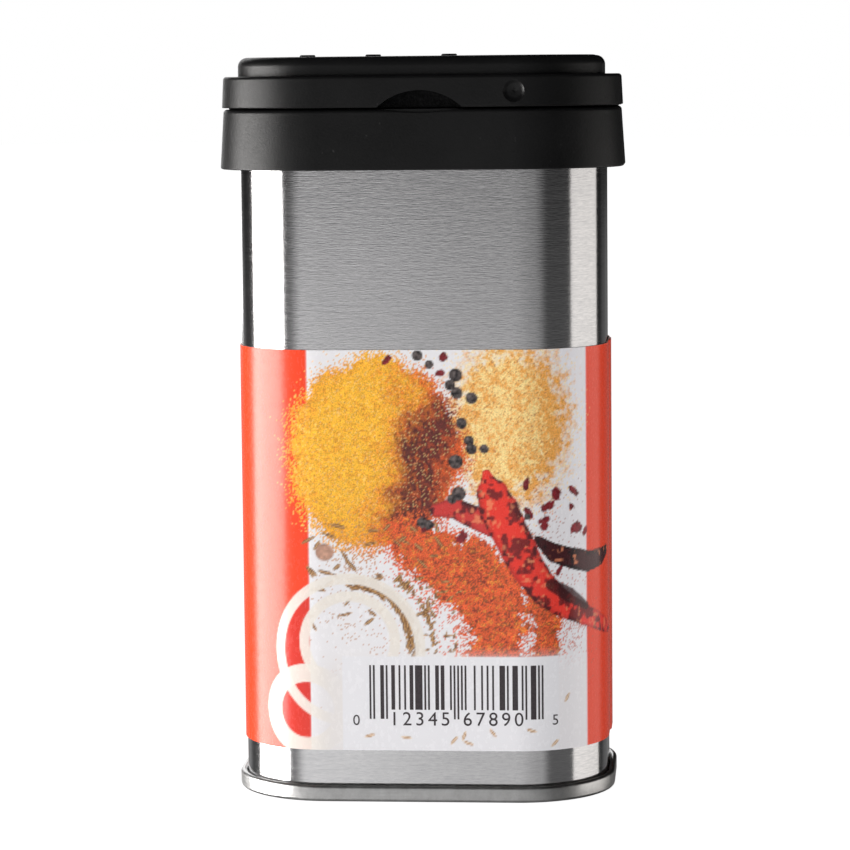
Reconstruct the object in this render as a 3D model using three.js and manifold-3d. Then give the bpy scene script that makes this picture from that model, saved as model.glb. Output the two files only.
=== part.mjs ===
// Spice tin: a rounded rectangular steel can with a double-seamed bottom, a wrap-around
// paper label and a press-on plastic closure with two hinged flaps, one over sifter holes
// and one over a spoon opening.
//
// Millimetres, +Z up, +X to the right, front at -Y.
// The origin is at the middle of the seam ring's foot, on the surface the tin stands on.

import * as THREE from 'three';
import { mergeVertices } from 'three/addons/utils/BufferGeometryUtils.js';
import Module from 'manifold-3d';

const wasm = await Module();
wasm.setup();

// ---------------------------------------------------------------- driving dimensions

// Can body. Offsets below are measured outwards from the can's outer surface.
const BODY_HALF_WIDTH = 33.25;
const BODY_HALF_DEPTH = 22;
const BODY_CORNER = 16;
const CORNER_STEPS = 6;
const SHEET = 0.25;

// Double seam at the foot
const SEAM_HEIGHT = 3;
const SEAM_OVERHANG = 1.35;
const PANEL_LEVEL = 2.5;
const PANEL_RIM_LEVEL = 3.3;

// Rolled edge at the mouth
const CURL_RADIUS = 0.6;
const CURL_TOP = 122.6;

// Side lap where the body sheet closes on itself
const LAP_WIDTH = 5;
const LAP_THICKNESS = 0.25;

// Paper label
const LABEL_LOW = 9.3;
const LABEL_HIGH = 81.6;
const LABEL_GAP = 0.15;
const LABEL_THICKNESS = 0.2;
const LABEL_LAP = 5;
const LABEL_STEP = 0.3;
const LABEL_STEP_FROM = -2.2;
const LABEL_STEP_TO = -0.8;

// Closure base
const SKIRT_LOW = 113.5;
const PARTING_LEVEL = 124.2;
const SKIRT_FOOT = 3.35;
const SKIRT_TOP = 2.7;
const SKIRT_INSIDE = 1.5;
const SKIRT_EDGE = 0.7;
const DECK_THICKNESS = 1.3;
const PLUG_DEPTH = 3.2;
const PLUG_OUTSIDE = -0.6;
const PLUG_WALL = 1;
const SNAP_HEIGHT = 1.2;
const SNAP_STAND = 0.2;

// Flaps
const FLAP_LOW = 124.5;
const LEDGE_LEVEL = 130.1;
const FLAP_TOP = 133.5;
const FLAP_FOOT = 2.95;
const FLAP_SHOULDER = 2.7;
const FLAP_WALL = 1.3;
const PLATFORM_INSET = 2.6;
const PLATFORM_FILLET = 1.7;
const PLATFORM_INNER_CORNER = 2.5;

// Hinges between each flap and the fixed spine
const HINGE_Y = 4.1;
const HINGE_Z = 129.9;
const SPINE_HALF = 3.6;
const SPINE_END = 2.3;
const FLAP_EDGE_Y = 4.6;
const WEB_THICKNESS = 0.4;
const WEB_LENGTH = 14;
const WEB_CENTRE_X = 16;
const WEB_GAP = 0.15;

// Openings in the deck
const SIFTER_RADIUS = 2.5;
const SIFTER_PITCH = 9;
const SIFTER_ROWS = [{ y: -12, count: 5 }, { y: -17.5, count: 4 }];
const SPOON_HALF_WIDTH = 22;
const SPOON_NEAR = 9.6;
const SPOON_FAR = 19.4;
const SPOON_CORNER = 4;

// Ring under each flap that closes round the openings
const SEALING_PLAN = {
  halfWidth: 25.5, front: -21.3, back: -8.2, frontCorner: 6, backCorner: 3,
};
const SEALING_WALL = 1;
const SEALING_GAP = 0.5;

// Thumb notch, the scoop under it, the round mark and the raised dots
const NOTCH_X = 1.2;
const NOTCH_CHORD = 15;
const NOTCH_RISE = 3;
const NOTCH_DEPTH = 2.4;
const SCOOP_DROP = 0.7;
const SCOOP_DEPTH = 1.1;
const MARK = { x: 17.9, z: 127.3, radius: 2, floorRadius: 1.2, depth: 0.5 };
const DOTS = { x: [-19.7, -7.9, 5.7], y: -13.5, radius: 1.4, height: 0.35 };

// ---------------------------------------------------------------- plan outlines

// A rounded rectangle, counter-clockwise from above, with CORNER_STEPS steps a corner.
// frontCorner is the radius at the two -Y corners and backCorner at the two +Y corners.
function roundedOutline({ halfWidth, front, back, frontCorner, backCorner }, offset = 0) {
  const corners = [
    { x: 1, y: -1, radius: frontCorner, from: -90 },
    { x: 1, y: 1, radius: backCorner, from: 0 },
    { x: -1, y: 1, radius: backCorner, from: 90 },
    { x: -1, y: -1, radius: frontCorner, from: 180 },
  ];
  const points = [];
  for (const corner of corners) {
    const radius = Math.max(corner.radius + offset, 0.05);
    const centreX = corner.x * (halfWidth + offset - radius);
    const centreY = corner.y < 0 ? front - offset + radius : back + offset - radius;
    for (let step = 0; step <= CORNER_STEPS; step += 1) {
      const angle = THREE.MathUtils.degToRad(corner.from + (90 * step) / CORNER_STEPS);
      points.push([centreX + radius * Math.cos(angle), centreY + radius * Math.sin(angle)]);
    }
  }
  return points;
}

const CAN_PLAN = {
  halfWidth: BODY_HALF_WIDTH,
  front: -BODY_HALF_DEPTH,
  back: BODY_HALF_DEPTH,
  frontCorner: BODY_CORNER,
  backCorner: BODY_CORNER,
};

const canOutline = (offset) => roundedOutline(CAN_PLAN, offset);

// ---------------------------------------------------------------- solids

function solidFrom(vertices, triangles) {
  const geometry = new THREE.BufferGeometry();
  geometry.setAttribute('position', new THREE.Float32BufferAttribute(vertices, 3));
  geometry.setIndex(triangles);
  return solidOf(geometry);
}

function solidOf(geometry) {
  geometry.deleteAttribute('normal');
  geometry.deleteAttribute('uv');
  const merged = mergeVertices(geometry, 1e-4);
  return new wasm.Manifold(new wasm.Mesh({
    numProp: 3,
    vertProperties: merged.attributes.position.array,
    triVerts: new Uint32Array(merged.index.array),
  }));
}

// Joins one outline per level into a wall. levels holds [offset, z], counter-clockwise
// with the offset to the right and z up. A closed loop of levels makes a ring; an open
// run is capped flat at its first and last level.
function loft(outline, levels, closed) {
  const rings = levels.map(([offset, z]) => outline(offset).map(([x, y]) => [x, y, z]));
  const count = rings[0].length;
  const vertices = rings.flat(2);
  const triangles = [];
  const last = closed ? rings.length : rings.length - 1;
  for (let level = 0; level < last; level += 1) {
    const low = level * count;
    const high = ((level + 1) % rings.length) * count;
    for (let i = 0; i < count; i += 1) {
      const next = (i + 1) % count;
      triangles.push(low + i, low + next, high + next, low + i, high + next, high + i);
    }
  }
  if (!closed) {
    const high = (rings.length - 1) * count;
    const floor = vertices.length / 3;
    const roof = floor + 1;
    vertices.push(...middle(rings[0]), ...middle(rings[rings.length - 1]));
    for (let i = 0; i < count; i += 1) {
      const next = (i + 1) % count;
      triangles.push(floor, next, i, roof, high + i, high + next);
    }
  }
  return solidFrom(vertices, triangles);
}

function middle(ring) {
  const sum = ring.reduce((total, point) => total.map((value, axis) => value + point[axis]));
  return sum.map((value) => value / ring.length);
}

const ring = (outline, levels) => loft(outline, levels, true);
const block = (outline, levels) => loft(outline, levels, false);

// Points along an arc, in plan or in the (offset, z) plane, angles in degrees.
function arc(centre, radius, from, to, steps) {
  return Array.from({ length: steps + 1 }, (_, step) => {
    const angle = THREE.MathUtils.degToRad(from + ((to - from) * step) / steps);
    return [centre[0] + radius * Math.cos(angle), centre[1] + radius * Math.sin(angle)];
  });
}

// Thickens a centreline in the (offset, z) plane into a sheet's closed section: along its
// right-hand side and back along its left.
function sheetSection(line, thickness) {
  const right = [];
  const left = [];
  for (let i = 0; i < line.length; i += 1) {
    const before = line[Math.max(i - 1, 0)];
    const after = line[Math.min(i + 1, line.length - 1)];
    const along = new THREE.Vector2(after[0] - before[0], after[1] - before[1]).normalize();
    const half = thickness / 2;
    right.push([line[i][0] + along.y * half, line[i][1] - along.x * half]);
    left.push([line[i][0] - along.y * half, line[i][1] + along.x * half]);
  }
  return [...right, ...left.reverse()];
}

function box(low, high) {
  const size = high.map((value, axis) => value - low[axis]);
  const geometry = new THREE.BoxGeometry(...size);
  geometry.translate(...low.map((value, axis) => value + size[axis] / 2));
  return solidOf(geometry);
}

// A cylinder along Y between two depths.
function cylinderAlongY(x, z, radius, yLow, yHigh, sides) {
  const geometry = new THREE.CylinderGeometry(radius, radius, yHigh - yLow, sides);
  geometry.translate(x, (yLow + yHigh) / 2, z);
  return solidOf(geometry);
}

function cylinderAlongZ(x, y, radius, zLow, zHigh, sides) {
  const geometry = new THREE.CylinderGeometry(radius, radius, zHigh - zLow, sides);
  geometry.rotateX(Math.PI / 2);
  geometry.translate(x, y, (zLow + zHigh) / 2);
  return solidOf(geometry);
}

const unite = (solids) => solids.reduce((whole, solid) => whole.add(solid));

// Radius of the circle whose segment has this chord and rise.
const segmentRadius = (chord, rise) => (chord * chord) / (8 * rise) + rise / 2;

// ---------------------------------------------------------------- materials

const steel = new THREE.MeshStandardMaterial({ color: 0xb4b2b0, roughness: 0.3, metalness: 1 });
const paper = new THREE.MeshStandardMaterial({ color: 0xe9e6e4, roughness: 0.5, metalness: 0 });
const plastic = new THREE.MeshStandardMaterial({ color: 0x141414, roughness: 0.5, metalness: 0 });
const rubber = new THREE.MeshStandardMaterial({ color: 0x6b6357, roughness: 0.8, metalness: 0 });

function mesh(name, solid, material) {
  const { vertProperties, triVerts } = solid.getMesh();
  const geometry = new THREE.BufferGeometry();
  geometry.setAttribute('position', new THREE.BufferAttribute(vertProperties, 3));
  geometry.setIndex(new THREE.BufferAttribute(triVerts, 1));
  geometry.computeVertexNormals();
  const piece = new THREE.Mesh(geometry, material);
  piece.name = name;
  return piece;
}

// ---------------------------------------------------------------- can

// Layers of the double seam, as offsets of their centrelines: the bottom's chuck wall,
// the body wall, the bottom's cover hook, the body hook and the bottom's seaming wall.
const HALF_SHEET = SHEET / 2;
const CHUCK_WALL = -0.525;
const BODY_WALL = -HALF_SHEET;
const COVER_HOOK = 0.3;
const BODY_HOOK = 0.75;
const SEAMING_WALL = SEAM_OVERHANG - HALF_SHEET;

function canBody() {
  const bendRadius = (BODY_HOOK - BODY_WALL) / 2;
  const bendCentre = [(BODY_HOOK + BODY_WALL) / 2, 0.95];
  const curlCentre = [BODY_WALL + CURL_RADIUS, CURL_TOP - HALF_SHEET - CURL_RADIUS];
  const hookTip = [BODY_HOOK, 2.2];
  const line = [
    hookTip,
    ...arc(bendCentre, bendRadius, 0, -180, 4),
    ...arc(curlCentre, CURL_RADIUS, 180, -110, 7),
  ];
  const wall = ring(canOutline, sheetSection(line, SHEET));
  const inside = -BODY_HALF_WIDTH + SHEET;
  const lap = box(
    [inside - HALF_SHEET, -LAP_WIDTH / 2, PANEL_RIM_LEVEL + 1],
    [inside + LAP_THICKNESS, LAP_WIDTH / 2, CURL_TOP - 2 * CURL_RADIUS],
  );
  return wall.add(lap);
}

function canBottom() {
  const foldRadius = 0.45;
  const topRadius = (SEAMING_WALL - COVER_HOOK) / 2;
  const topCentre = [(SEAMING_WALL + COVER_HOOK) / 2, SEAM_HEIGHT - HALF_SHEET - topRadius];
  const line = [
    [-4.4, PANEL_LEVEL],
    [-3.8, PANEL_LEVEL],
    [-3.2, PANEL_RIM_LEVEL],
    ...arc([CHUCK_WALL - foldRadius, PANEL_RIM_LEVEL - foldRadius], foldRadius, 90, 0, 2),
    ...arc([CHUCK_WALL + foldRadius, HALF_SHEET + foldRadius], foldRadius, 180, 270, 2),
    ...arc([SEAMING_WALL - foldRadius, HALF_SHEET + foldRadius], foldRadius, -90, 0, 2),
    ...arc(topCentre, topRadius, 0, 180, 4),
    [COVER_HOOK, 1.45],
  ];
  return block(canOutline, sheetSection(line, SHEET));
}

function seamGasket() {
  return ring(canOutline, [[0.6, 2.33], [0.9, 2.33], [0.9, 2.63], [0.6, 2.63]]);
}

// ---------------------------------------------------------------- label

// The label starts in the middle of the right-hand side, runs once round the can
// counter-clockwise from above and laps over its own start.
function paperLabel() {
  const inner = labelSide(LABEL_GAP, 0);
  const outer = labelSide(LABEL_GAP + LABEL_THICKNESS, -0.1);
  const section = [...outer, ...inner.reverse()].map(([x, y]) => new THREE.Vector2(x, y));
  const geometry = new THREE.ExtrudeGeometry(new THREE.Shape(section), {
    depth: LABEL_HIGH - LABEL_LOW,
    bevelEnabled: false,
  });
  geometry.translate(0, 0, LABEL_LOW);
  return solidOf(geometry);
}

// One face of the label as a line in plan. early moves the start of its step up.
function labelSide(offset, early) {
  const cornerPoints = CORNER_STEPS + 1;
  const around = canOutline(offset);
  const side = BODY_HALF_WIDTH + offset;
  return [
    [side, 0],
    ...around.slice(cornerPoints),
    ...around.slice(0, cornerPoints),
    [side, LABEL_STEP_FROM + early],
    [side + LABEL_STEP, LABEL_STEP_TO + early],
    [side + LABEL_STEP, LABEL_LAP],
  ];
}

// ---------------------------------------------------------------- closure base

function closureBase() {
  const deckLow = PARTING_LEVEL - DECK_THICKNESS;
  const shell = block(canOutline, [
    [SKIRT_FOOT - 0.3, SKIRT_LOW],
    [SKIRT_FOOT, SKIRT_LOW + 0.3],
    [SKIRT_TOP, PARTING_LEVEL - SKIRT_EDGE],
    [SKIRT_TOP - 0.2, PARTING_LEVEL - 0.2],
    [SKIRT_TOP - SKIRT_EDGE, PARTING_LEVEL],
  ]);
  const pocket = block(canOutline, [[SKIRT_INSIDE, SKIRT_LOW - 1], [SKIRT_INSIDE, deckLow]]);
  const plug = ring(canOutline, [
    [PLUG_OUTSIDE - 0.3, deckLow - PLUG_DEPTH],
    [PLUG_OUTSIDE, deckLow - PLUG_DEPTH + 0.8],
    [PLUG_OUTSIDE, deckLow + 0.2],
    [PLUG_OUTSIDE - PLUG_WALL, deckLow + 0.2],
    [PLUG_OUTSIDE - PLUG_WALL, deckLow - PLUG_DEPTH],
  ]);
  const scoops = [-1, 1].map((side) => fingerScoop(side));
  return unite([shell.subtract(pocket), plug, ...snapRibs(), spine()])
    .subtract(unite([...sifterHoles(), spoonOpening(), spineCore(), ...scoops]));
}

// Short ribs inside the skirt, just under the can's rolled edge.
function snapRibs() {
  const high = CURL_TOP - 2 * CURL_RADIUS - SHEET - 0.3;
  const low = high - SNAP_HEIGHT;
  const halfWidth = BODY_HALF_WIDTH + SKIRT_INSIDE;
  const halfDepth = BODY_HALF_DEPTH + SKIRT_INSIDE;
  const ribs = [];
  for (const side of [-1, 1]) {
    for (const x of [-10, 10]) {
      const wall = side * halfDepth;
      const ends = [wall - side * SNAP_STAND, wall + side * 0.3].sort((a, b) => a - b);
      ribs.push(box([x - 3, ends[0], low], [x + 3, ends[1], high]));
    }
    const wall = side * halfWidth;
    const ends = [wall - side * SNAP_STAND, wall + side * 0.3].sort((a, b) => a - b);
    ribs.push(box([ends[0], -3, low], [ends[1], 3, high]));
  }
  return ribs;
}

// The fixed bar between the two flaps, hollow from below.
function spine() {
  const bar = block(canOutline, [
    [SPINE_END - 0.4, PARTING_LEVEL - 0.7],
    [SPINE_END, FLAP_LOW],
    [SPINE_END - 0.2, LEDGE_LEVEL - 0.5],
    [SPINE_END - 0.6, LEDGE_LEVEL],
  ]);
  return bar.intersect(box([-60, -SPINE_HALF, 100], [60, SPINE_HALF, 140]));
}

function spineCore() {
  const wall = 1.2;
  const half = SPINE_HALF - wall;
  const length = BODY_HALF_WIDTH + PLUG_OUTSIDE - PLUG_WALL - 0.5;
  return box([-length, -half, 120], [length, half, LEDGE_LEVEL - wall]);
}

function sifterHoles() {
  return SIFTER_ROWS.flatMap(({ y, count }) => Array.from({ length: count }, (_, i) => {
    const x = (i - (count - 1) / 2) * SIFTER_PITCH;
    return cylinderAlongZ(x, y, SIFTER_RADIUS, 120, 126, 14);
  }));
}

function spoonOpening() {
  const plan = {
    halfWidth: SPOON_HALF_WIDTH,
    front: SPOON_NEAR,
    back: SPOON_FAR,
    frontCorner: SPOON_CORNER,
    backCorner: SPOON_CORNER,
  };
  return block((offset) => roundedOutline(plan, offset), [[0, 120], [0, 126]]);
}

// A shallow dip in the skirt's top edge under a thumb notch. side is -1 at the front,
// where the notch is a little right of the middle; the rear one mirrors that half round.
function fingerScoop(side) {
  const radius = segmentRadius(NOTCH_CHORD, SCOOP_DROP);
  const face = side * (BODY_HALF_DEPTH + SKIRT_TOP);
  const ends = [face - side * SCOOP_DEPTH, face + side].sort((a, b) => a - b);
  const x = -side * NOTCH_X;
  return cylinderAlongY(x, PARTING_LEVEL - SCOOP_DROP + radius, radius, ...ends, 96);
}

// ---------------------------------------------------------------- flaps

// The raised platform's plan: the can's big front corners, each running into a small
// corner by the hinge. The two arcs touch where the big one has turned to meetAngle.
function platformOutline(offset) {
  const centreX = BODY_HALF_WIDTH - BODY_CORNER;
  const centreY = BODY_CORNER - BODY_HALF_DEPTH;
  const big = BODY_CORNER + FLAP_SHOULDER - PLATFORM_INSET;
  const reach = big - PLATFORM_INNER_CORNER;
  const innerY = -(FLAP_EDGE_Y + PLATFORM_INSET + PLATFORM_INNER_CORNER);
  const meetAngle = THREE.MathUtils.radToDeg(Math.asin((innerY - centreY) / reach));
  const innerX = centreX + Math.sqrt(reach ** 2 - (innerY - centreY) ** 2);
  const right = [
    ...arc([centreX, centreY], big + offset, -90, meetAngle, CORNER_STEPS),
    ...arc([innerX, innerY], PLATFORM_INNER_CORNER + offset, meetAngle, 90, 4).slice(1),
  ];
  return [...right, ...right.map(([x, y]) => [-x, y]).reverse()];
}

// The front flap in its closed place. The rear flap is the same piece turned half round.
function flap(marked) {
  const frontHalf = box([-60, -60, 100], [60, -FLAP_EDGE_Y, 150]);
  const tier = block(canOutline, [
    [FLAP_FOOT - 0.1, FLAP_LOW],
    [FLAP_FOOT, FLAP_LOW + 0.15],
    [FLAP_SHOULDER, LEDGE_LEVEL - 0.6],
    [FLAP_SHOULDER - 0.2, LEDGE_LEVEL - 0.15],
    [FLAP_SHOULDER - 0.6, LEDGE_LEVEL],
  ]).intersect(frontHalf);
  const filletCentre = [-PLATFORM_FILLET, FLAP_TOP - PLATFORM_FILLET];
  const platform = block(platformOutline, [
    [0, LEDGE_LEVEL - 0.5],
    ...arc(filletCentre, PLATFORM_FILLET, 0, 90, 4),
  ]);
  const tierCore = block(canOutline, [
    [FLAP_FOOT - FLAP_WALL, FLAP_LOW - 1],
    [FLAP_SHOULDER - FLAP_WALL, LEDGE_LEVEL - FLAP_WALL],
  ]).intersect(box([-60, -60, 100], [60, -FLAP_EDGE_Y - FLAP_WALL, 150]));
  const platformCore = block(platformOutline, [
    [-FLAP_WALL, FLAP_LOW],
    [-FLAP_WALL, FLAP_TOP - PLATFORM_FILLET],
    [-PLATFORM_FILLET - 0.2, FLAP_TOP - FLAP_WALL - 0.1],
  ]);
  const face = -BODY_HALF_DEPTH - FLAP_FOOT;
  const notchBacking = box(
    [NOTCH_X - NOTCH_CHORD / 2 - 1.2, face + 0.6, FLAP_LOW],
    [NOTCH_X + NOTCH_CHORD / 2 + 1.2, face + NOTCH_DEPTH + FLAP_WALL, LEDGE_LEVEL - 0.5],
  );
  const radius = segmentRadius(NOTCH_CHORD, NOTCH_RISE);
  const notch = cylinderAlongY(
    NOTCH_X, FLAP_LOW + NOTCH_RISE - radius, radius, face - 1, face + NOTCH_DEPTH, 48,
  );
  const hollow = tierCore.add(platformCore).subtract(notchBacking.add(sealingRing()));
  const whole = tier.add(platform).subtract(hollow.add(notch));
  return marked ? withDots(whole).subtract(roundMark()) : whole;
}

// The ring under a flap that closes round the openings in the deck.
function sealingRing() {
  const low = PARTING_LEVEL + SEALING_GAP;
  const high = FLAP_TOP - FLAP_WALL / 2;
  return ring((offset) => roundedOutline(SEALING_PLAN, offset), [
    [0, low], [0, high], [-SEALING_WALL, high], [-SEALING_WALL, low],
  ]);
}

// A shallow round dish in the flap's front face.
function roundMark() {
  const face = -BODY_HALF_DEPTH - (FLAP_FOOT + FLAP_SHOULDER) / 2;
  const slope = MARK.radius - MARK.floorRadius;
  const geometry = new THREE.CylinderGeometry(
    MARK.floorRadius, MARK.radius + slope, 2 * MARK.depth, 16,
  );
  geometry.translate(MARK.x, face, MARK.z);
  return solidOf(geometry);
}

function withDots(solid) {
  const dots = DOTS.x.map((x) => (
    cylinderAlongZ(x, DOTS.y, DOTS.radius, FLAP_TOP - 0.5, FLAP_TOP + DOTS.height, 12)
  ));
  return unite([solid, ...dots]);
}

// A thin strip of plastic that joins a flap to the spine. side is -1 at the front.
function hingeWeb(x, side) {
  const ends = [side * (SPINE_HALF + WEB_GAP), side * (FLAP_EDGE_Y - WEB_GAP)];
  ends.sort((a, b) => a - b);
  return box(
    [x - WEB_LENGTH / 2, ends[0], HINGE_Z - WEB_THICKNESS / 2],
    [x + WEB_LENGTH / 2, ends[1], HINGE_Z + WEB_THICKNESS / 2],
  );
}

// ---------------------------------------------------------------- assembly

const rearFlap = mesh('rear_flap', flap(false), plastic);
rearFlap.rotation.z = Math.PI;

const tin = new THREE.Group();
tin.add(
  mesh('can_body', canBody(), steel),
  mesh('can_bottom', canBottom(), steel),
  mesh('seam_gasket', seamGasket(), rubber),
  mesh('paper_label', paperLabel(), paper),
  mesh('closure_base', closureBase(), plastic),
  mesh('front_flap', flap(true), plastic),
  rearFlap,
);
for (const [place, side] of [['front', -1], ['rear', 1]]) {
  tin.add(
    mesh(`${place}_hinge_left`, hingeWeb(-WEB_CENTRE_X, side), plastic),
    mesh(`${place}_hinge_right`, hingeWeb(WEB_CENTRE_X, side), plastic),
  );
}

export default tin;
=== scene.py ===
"""Spice tin: a brushed steel tin with a printed paper label and a black dispensing closure.

Lengths in the tables and functions below are in millimetres, in the part's own frame:
+Z up, +X to the right, front at -Y, origin at the middle of the seam ring's foot. They
become metres where a mesh is made. An "offset" is a distance outwards from the can wall.
"""
import math

import bpy
import numpy as np
from mathutils import Matrix, Vector

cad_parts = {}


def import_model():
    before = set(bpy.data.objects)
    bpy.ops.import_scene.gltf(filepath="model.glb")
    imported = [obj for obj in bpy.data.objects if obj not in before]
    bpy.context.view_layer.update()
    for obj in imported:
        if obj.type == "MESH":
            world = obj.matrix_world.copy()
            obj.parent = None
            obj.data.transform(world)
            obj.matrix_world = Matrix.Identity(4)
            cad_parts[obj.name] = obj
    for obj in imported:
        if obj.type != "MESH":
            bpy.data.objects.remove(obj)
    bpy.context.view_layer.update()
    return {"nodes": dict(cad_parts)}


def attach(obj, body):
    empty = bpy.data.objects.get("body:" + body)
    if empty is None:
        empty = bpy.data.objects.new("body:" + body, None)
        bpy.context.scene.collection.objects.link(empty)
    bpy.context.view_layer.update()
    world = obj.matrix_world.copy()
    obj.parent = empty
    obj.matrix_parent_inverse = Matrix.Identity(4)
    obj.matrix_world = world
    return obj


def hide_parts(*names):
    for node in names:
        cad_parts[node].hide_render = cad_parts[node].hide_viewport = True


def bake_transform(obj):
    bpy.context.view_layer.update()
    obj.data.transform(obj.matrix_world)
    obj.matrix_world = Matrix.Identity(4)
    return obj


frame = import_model()

MM = 0.001
CORNER_STEPS = 24

# ------------------------------------------------------------------ dimensions

HALF_WIDTH = 33.25
HALF_DEPTH = 22.0
CORNER = 16.0
SHEET = 0.25
CAN_PLAN = (HALF_WIDTH, -HALF_DEPTH, HALF_DEPTH, CORNER, CORNER)

# The can's sheet metal: walls, hooks and edges are offsets, levels and heights are upwards.
SEAM_HEIGHT = 3.0
PANEL_LEVEL = 2.5
PANEL_RIM_LEVEL = 3.3
CHUCK_WALL = -0.525
BODY_WALL = -0.125
COVER_HOOK = 0.3
BODY_HOOK = 0.75
SEAMING_WALL = 1.225
CURL_RADIUS = 0.6
CURL_TOP = 122.6
LAP_WIDTH = 5.0
PANEL_EDGE = -3.8
BODY_FOLD_LEVEL = 0.95
BODY_HOOK_END = 2.2
COVER_HOOK_END = 1.45

# The label. The picture and the bar code's panel are placed by (s, z): see label_point.
LABEL_LOW = 9.3
LABEL_HIGH = 81.6
LABEL_OFFSET = 0.35
LABEL_THICKNESS = 0.2
LABEL_LAP = 5.0
LABEL_STEP = 0.3
PICTURE_RISE = -1.3
PICTURE_LEFT = -19.7
PICTURE_RIGHT = 31.7
CODE_TOP = 27.8
CODE_LEFT = -13.9
CODE_RIGHT = 25.3
LABEL_RADIUS = CORNER + LABEL_OFFSET
LABEL_FLAT = HALF_WIDTH - CORNER
LABEL_SIDE_HALF = HALF_DEPTH - CORNER
LABEL_CORNER_LENGTH = LABEL_RADIUS * math.pi / 2
LABEL_AROUND = 4 * (LABEL_FLAT + LABEL_SIDE_HALF + LABEL_CORNER_LENGTH)
RIGHT_MIDDLE = LABEL_FLAT + LABEL_CORNER_LENGTH + LABEL_SIDE_HALF

# The closure's base: skirt, deck and plug walls are offsets.
SKIRT_LOW = 113.5
PARTING_LEVEL = 124.2
SKIRT_FOOT = 3.35
SKIRT_TOP = 2.7
SKIRT_INSIDE = 1.5
SKIRT_EDGE = 0.7
DECK_LOW = PARTING_LEVEL - 1.3
PLUG_DEPTH = 3.2
PLUG_OUTSIDE = -0.6
PLUG_WALL = 1.0
SNAP_HEIGHT = 1.2
SNAP_STAND = 0.2
UNDER_DECK = 120.0
OVER_DECK = 126.0

# The flaps, the spine between them and the webs that join them.
FLAP_LOW = 124.5
LEDGE_LEVEL = 130.1
FLAP_TOP = 133.5
FLAP_FOOT = 2.95
FLAP_FACE_Y = -HALF_DEPTH - FLAP_FOOT
FLAP_SHOULDER = 2.7
FLAP_WALL = 1.3
FLAP_EDGE = 0.6
PLATFORM_INSET = 2.6
PLATFORM_FILLET = 1.7
PLATFORM_INNER_CORNER = 2.5
HINGE_Z = 129.9
SPINE_HALF = 3.6
SPINE_END = 2.3
FLAP_EDGE_Y = 4.6
WEB_THICKNESS = 0.4
WEB_LENGTH = 14.0
WEB_CENTRE_X = 16.0

# Openings in the deck, and what is cut into or raised on the front flap.
SIFTER_RADIUS = 2.5
SIFTER_PITCH = 9.0
SIFTER_ROWS = ((-12.0, 5), (-17.5, 4))
SPOON_PLAN = (22.0, 9.6, 19.4, 4.0, 4.0)
SEALING_PLAN = (25.5, -21.3, -8.2, 6.0, 3.0)
SEALING_WALL = 1.0
NOTCH_X = 1.2
NOTCH_CHORD = 15.0
NOTCH_RISE = 3.0
NOTCH_DEPTH = 2.4
SCOOP_DROP = 0.7
SCOOP_DEPTH = 1.1
MARK_X = 17.9
MARK_Z = 127.3
MARK_DEPTH = 0.5
DOTS_X = (-19.7, -7.9, 5.7)
DOTS_Y = -13.5
DOT_RADIUS = 1.4


# ------------------------------------------------------------------ outlines and meshes

def rounded(plan, offset=0.0, steps=CORNER_STEPS):
    """A rounded rectangle, counter-clockwise from above. plan: half width, front, back, radii."""
    half, front, back, front_radius, back_radius = plan
    points = []
    for side, start, radius in ((1, -90, front_radius), (1, 0, back_radius),
                                (-1, 90, back_radius), (-1, 180, front_radius)):
        radius = max(radius + offset, 0.05)
        x = side * (half + offset - radius)
        y = front - offset + radius if start in (-90, 180) else back + offset - radius
        for step in range(steps + 1):
            points.append(polar((x, y), radius, math.radians(start + 90 * step / steps)))
    return points


def can_outline(offset):
    return rounded(CAN_PLAN, offset)


def polar(centre, radius, angle):
    return centre[0] + radius * math.cos(angle), centre[1] + radius * math.sin(angle)


def arc(centre, radius, start, end, steps):
    angles = np.radians(np.linspace(start, end, steps + 1))
    return [polar(centre, radius, angle) for angle in angles]


def platform_outline(offset):
    """Plan of a flap's raised platform: big front corners, each running into a small one."""
    centre = (LABEL_FLAT, CORNER - HALF_DEPTH)
    big = CORNER + FLAP_SHOULDER - PLATFORM_INSET
    reach = big - PLATFORM_INNER_CORNER
    inner_y = -(FLAP_EDGE_Y + PLATFORM_INSET + PLATFORM_INNER_CORNER)
    meet = math.degrees(math.asin((inner_y - centre[1]) / reach))
    inner_x = centre[0] + math.sqrt(reach ** 2 - (inner_y - centre[1]) ** 2)
    right = arc(centre, big + offset, -90, meet, CORNER_STEPS)
    right += arc((inner_x, inner_y), PLATFORM_INNER_CORNER + offset, meet, 90, 12)[1:]
    return right + [(-x, y) for x, y in reversed(right)]


def sheet_section(line, thickness):
    """Thickens a centreline in the (offset, z) plane: along its right side, back on its left."""
    right = []
    left = []
    for i, (offset, z) in enumerate(line):
        before = line[max(i - 1, 0)]
        after = line[min(i + 1, len(line) - 1)]
        along = Vector((after[0] - before[0], after[1] - before[1])).normalized()
        half = thickness / 2
        right.append((offset + along.y * half, z - along.x * half))
        left.append((offset - along.y * half, z + along.x * half))
    return right + left[::-1]


def add_object(name, vertices, faces):
    mesh = bpy.data.meshes.new(name)
    mesh.from_pydata([(x * MM, y * MM, z * MM) for x, y, z in vertices], [], faces)
    mesh.update()
    obj = bpy.data.objects.new(name, mesh)
    bpy.context.scene.collection.objects.link(obj)
    return obj


def ring_faces(rings, count, closed=False):
    """Faces between rings of points, and caps unless the last ring joins the first."""
    faces = []
    for ring in range(rings if closed else rings - 1):
        low = ring * count
        high = (ring + 1) % rings * count
        for i in range(count):
            after = (i + 1) % count
            faces.append((low + i, low + after, high + after, high + i))
    if not closed:
        faces.append(tuple(reversed(range(count))))
        faces.append(tuple(range((rings - 1) * count, rings * count)))
    return faces


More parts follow.
